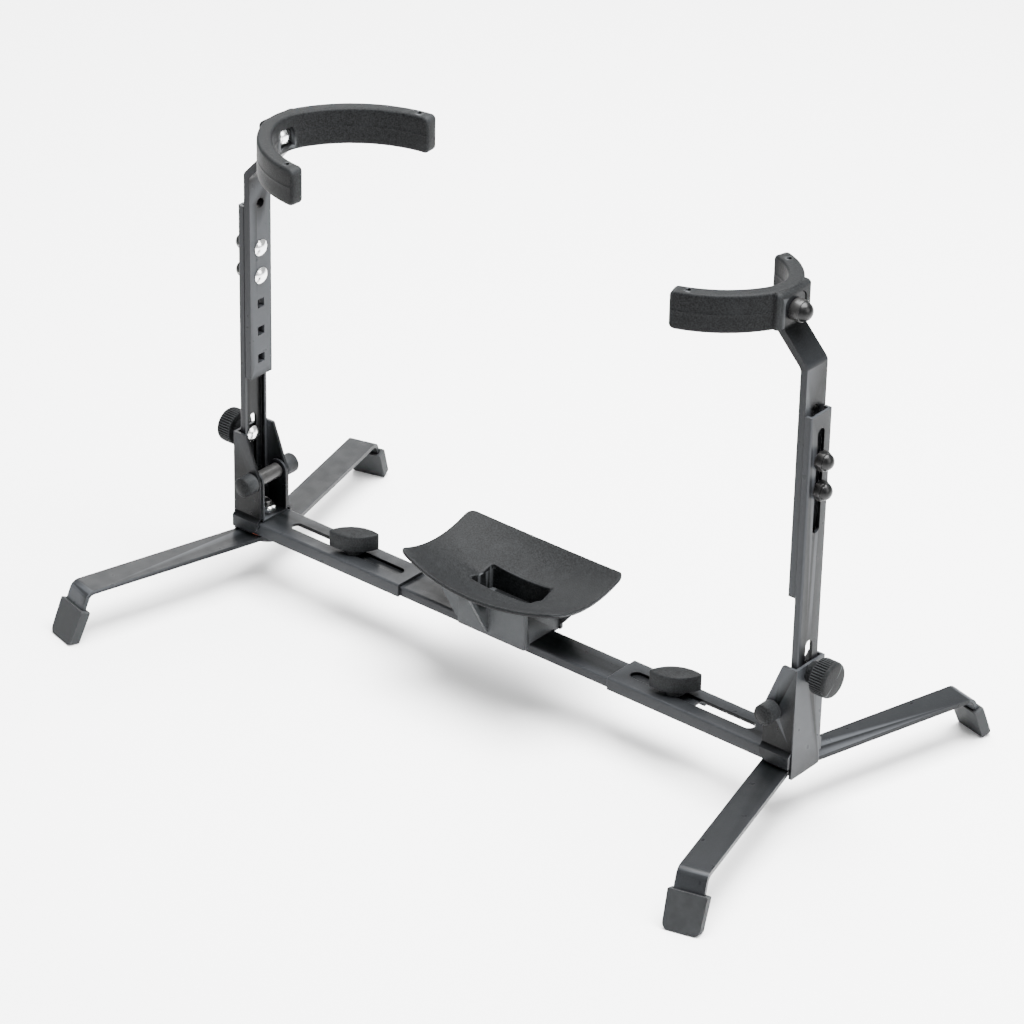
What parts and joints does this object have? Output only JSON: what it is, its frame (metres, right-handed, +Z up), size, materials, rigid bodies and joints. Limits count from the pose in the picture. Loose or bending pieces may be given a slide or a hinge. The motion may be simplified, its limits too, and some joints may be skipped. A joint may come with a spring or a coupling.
{
  "type": "wind instrument floor stand",
  "caption": "Low floor stand with a dished saddle on a telescoping rail, folding height-adjustable uprights with C-shaped cradles, and swivelling legs.",
  "frame": {"origin": "on the floor, midway between the two uprights and 4 mm to the right of the middle of the saddle", "axes": "+X along the rail towards the small cradle, +Y across the rail towards the back legs, +Z up"},
  "size_m": [0.5374, 0.3164, 0.3533],
  "materials": {
    "coated_steel": "dark grey fine-textured powder coat",
    "textured_plastic": "fine spark-textured dark grey moulding",
    "zinc_plate": "bright zinc plate",
    "red_fibre": "red vulcanised fibre",
    "foot_rubber": "dark grey rubber",
    "black_fasteners": "black oxide with a slight shine"
  },
  "bodies": {
    "base": {"centre_rail": "coated_steel", "saddle": "textured_plastic", "saddle_screw": "zinc_plate", "rail_knob_nut_left": "zinc_plate", "rail_knob_nut_right": "zinc_plate"},
    "rail_knob_left_body": {"rail_knob_left": "textured_plastic"},
    "rail_end_left": {"end_rail_left": "coated_steel", "hinge_ears_left": "coated_steel", "hinge_sleeve_left": "black_fasteners", "fibre_washer_left": "red_fibre", "leg_bolt_left": "black_fasteners", "leg_nut_left": "zinc_plate"},
    "leg_left_front_body": {"leg_left_front": "coated_steel", "foot_left_front": "foot_rubber"},
    "leg_left_back_body": {"leg_left_back": "coated_steel", "foot_left_back": "foot_rubber"},
    "bracket_left": {"post_bracket_left": "coated_steel", "hinge_pin_left": "zinc_plate", "pin_cap_left_front": "textured_plastic", "pin_cap_left_back": "textured_plastic", "clamp_bolt_left": "zinc_plate"},
    "post_knob_left_body": {"post_knob_left": "textured_plastic"},
    "post_left_body": {"post_left": "coated_steel"},
    "bar_left_body": {"upper_bar_left": "coated_steel", "bar_bolt_left_upper": "zinc_plate", "bar_bolt_left_lower": "zinc_plate", "bar_nut_left_upper": "black_fasteners", "bar_nut_left_lower": "black_fasteners", "cradle_left": "textured_plastic", "cradle_bolt_left": "zinc_plate", "cradle_nut_left": "black_fasteners"},
    "rail_knob_right_body": {"rail_knob_right": "textured_plastic"},
    "rail_end_right": {"end_rail_right": "coated_steel", "hinge_ears_right": "coated_steel", "hinge_sleeve_right": "black_fasteners", "fibre_washer_right": "red_fibre", "leg_bolt_right": "black_fasteners", "leg_nut_right": "zinc_plate"},
    "leg_right_front_body": {"leg_right_front": "coated_steel", "foot_right_front": "foot_rubber"},
    "leg_right_back_body": {"leg_right_back": "coated_steel", "foot_right_back": "foot_rubber"},
    "bracket_right": {"post_bracket_right": "coated_steel", "hinge_pin_right": "zinc_plate", "pin_cap_right_front": "textured_plastic", "pin_cap_right_back": "textured_plastic", "clamp_bolt_right": "zinc_plate"},
    "post_knob_right_body": {"post_knob_right": "textured_plastic"},
    "post_right_body": {"post_right": "coated_steel"},
    "bar_right_body": {"upper_bar_right": "coated_steel", "bar_bolt_right_upper": "zinc_plate", "bar_bolt_right_lower": "zinc_plate", "bar_nut_right_upper": "black_fasteners", "bar_nut_right_lower": "black_fasteners", "cradle_right": "textured_plastic", "cradle_bolt_right": "zinc_plate", "cradle_nut_right": "black_fasteners"}
  },
  "joints": [
    {"name": "rail_knob_turn_left", "type": "hinge", "parent": "base", "child": "rail_knob_left_body", "pos_m": [-0.138, 0, 0.045], "axis": [0, 0, 1], "continuous": true},
    {"name": "rail_slide_left", "type": "slide", "parent": "base", "child": "rail_end_left", "axis": [-1, 0, 0], "range_m": [-0.05, 0.033]},
    {"name": "leg_fold_left_front", "type": "hinge", "parent": "rail_end_left", "child": "leg_left_front_body", "pos_m": [-0.2155, 0, 0.031], "axis": [0, 0, 1], "range_deg": [0, 95]},
    {"name": "leg_fold_left_back", "type": "hinge", "parent": "rail_end_left", "child": "leg_left_back_body", "pos_m": [-0.2155, 0, 0.031], "axis": [0, 0, 1], "range_deg": [-95, 0]},
    {"name": "upright_fold_left", "type": "hinge", "parent": "rail_end_left", "child": "bracket_left", "pos_m": [-0.2155, 0, 0.074], "axis": [0, 1, 0], "range_deg": [0, 65]},
    {"name": "post_knob_turn_left", "type": "hinge", "parent": "bracket_left", "child": "post_knob_left_body", "pos_m": [-0.2323, 0, 0.101], "axis": [-1, 0, 0], "continuous": true},
    {"name": "post_height_left", "type": "slide", "parent": "bracket_left", "child": "post_left_body", "axis": [0, 0, 1], "range_m": [-0.012, 0.032]},
    {"name": "bar_height_left", "type": "slide", "parent": "post_left_body", "child": "bar_left_body", "axis": [0, 0, 1], "range_m": [-0.026, 0.017]},
    {"name": "rail_knob_turn_right", "type": "hinge", "parent": "base", "child": "rail_knob_right_body", "pos_m": [0.13, 0, 0.045], "axis": [0, 0, 1], "continuous": true},
    {"name": "rail_slide_right", "type": "slide", "parent": "base", "child": "rail_end_right", "axis": [1, 0, 0], "range_m": [-0.046, 0.029]},
    {"name": "leg_fold_right_front", "type": "hinge", "parent": "rail_end_right", "child": "leg_right_front_body", "pos_m": [0.2155, 0, 0.031], "axis": [0, 0, 1], "range_deg": [-95, 0]},
    {"name": "leg_fold_right_back", "type": "hinge", "parent": "rail_end_right", "child": "leg_right_back_body", "pos_m": [0.2155, 0, 0.031], "axis": [0, 0, 1], "range_deg": [0, 95]},
    {"name": "upright_fold_right", "type": "hinge", "parent": "rail_end_right", "child": "bracket_right", "pos_m": [0.2155, 0, 0.074], "axis": [0, 1, 0], "range_deg": [-65, 0]},
    {"name": "post_knob_turn_right", "type": "hinge", "parent": "bracket_right", "child": "post_knob_right_body", "pos_m": [0.2323, 0, 0.101], "axis": [1, 0, 0], "continuous": true},
    {"name": "post_height_right", "type": "slide", "parent": "bracket_right", "child": "post_right_body", "axis": [0, 0, 1], "range_m": [-0.017, 0.027]},
    {"name": "bar_height_right", "type": "slide", "parent": "post_right_body", "child": "bar_right_body", "axis": [0, 0, 1], "range_m": [-0.026, 0.017]}
  ]
}
